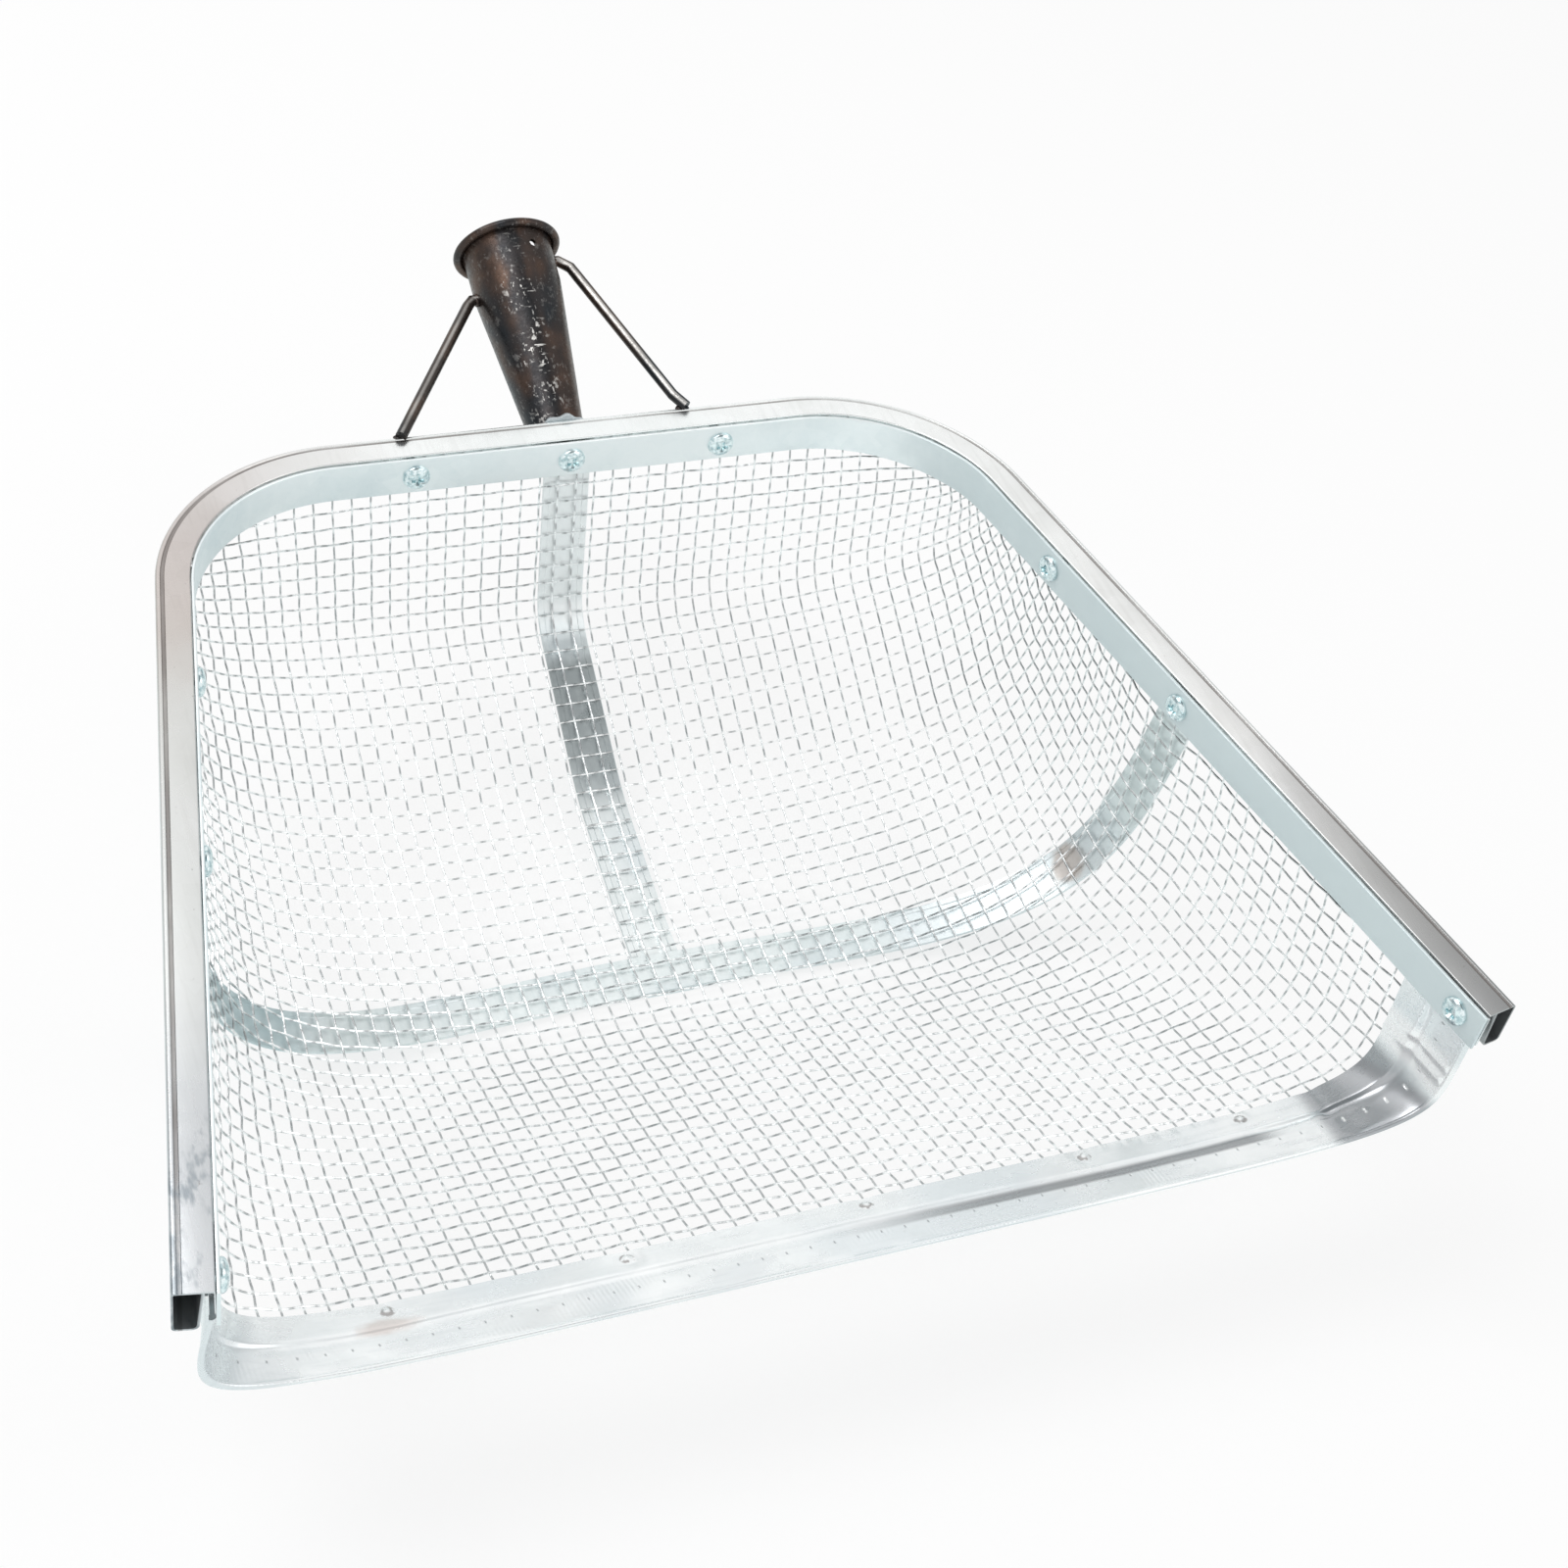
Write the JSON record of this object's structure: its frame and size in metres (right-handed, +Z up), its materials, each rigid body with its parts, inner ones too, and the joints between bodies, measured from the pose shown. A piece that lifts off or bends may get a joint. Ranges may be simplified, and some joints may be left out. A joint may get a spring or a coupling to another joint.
{
  "type": "leaf skimmer scoop",
  "caption": "Rigid wire-mesh pool scoop: U-shaped galvanised rim, clamped mesh pan on under-straps, folded front lip and a welded conical pole socket with stays.",
  "frame": {"origin": "middle of the flat under the belly, where the scoop stands", "axes": "+Y from the open mouth to the pole socket, +Z up out of the pan, square to the rim's top face, +X to the right seen from the mouth"},
  "size_m": [0.475, 0.4831, 0.1896],
  "materials": {
    "rim_zinc": "galvanised, satin with faint spangle",
    "strip_zinc": "bluish galvanised, semi-gloss",
    "mesh_wire": "bright galvanised wire",
    "strap_zinc": "galvanised, semi-gloss",
    "lip_zinc": "bright galvanised, scuffed",
    "scaled_steel": "mill-scaled, scratched",
    "weld_zinc": "rough weld",
    "screw_zinc": "bluish zinc plate"
  },
  "bodies": {
    "root": {"rim_channel": "rim_zinc", "clamp_strip": "strip_zinc", "mesh_basket": "mesh_wire", "centre_strap": "strap_zinc", "cross_strap": "strap_zinc", "front_lip": "lip_zinc", "pole_socket": "scaled_steel", "left_stay": "scaled_steel", "right_stay": "scaled_steel", "socket_weld": "weld_zinc", "left_foot_weld": "scaled_steel", "right_foot_weld": "scaled_steel", "left_top_weld": "scaled_steel", "right_top_weld": "scaled_steel", "back_screws": "screw_zinc", "left_screws": "screw_zinc", "right_screws": "screw_zinc"}
  },
  "joints": []
}
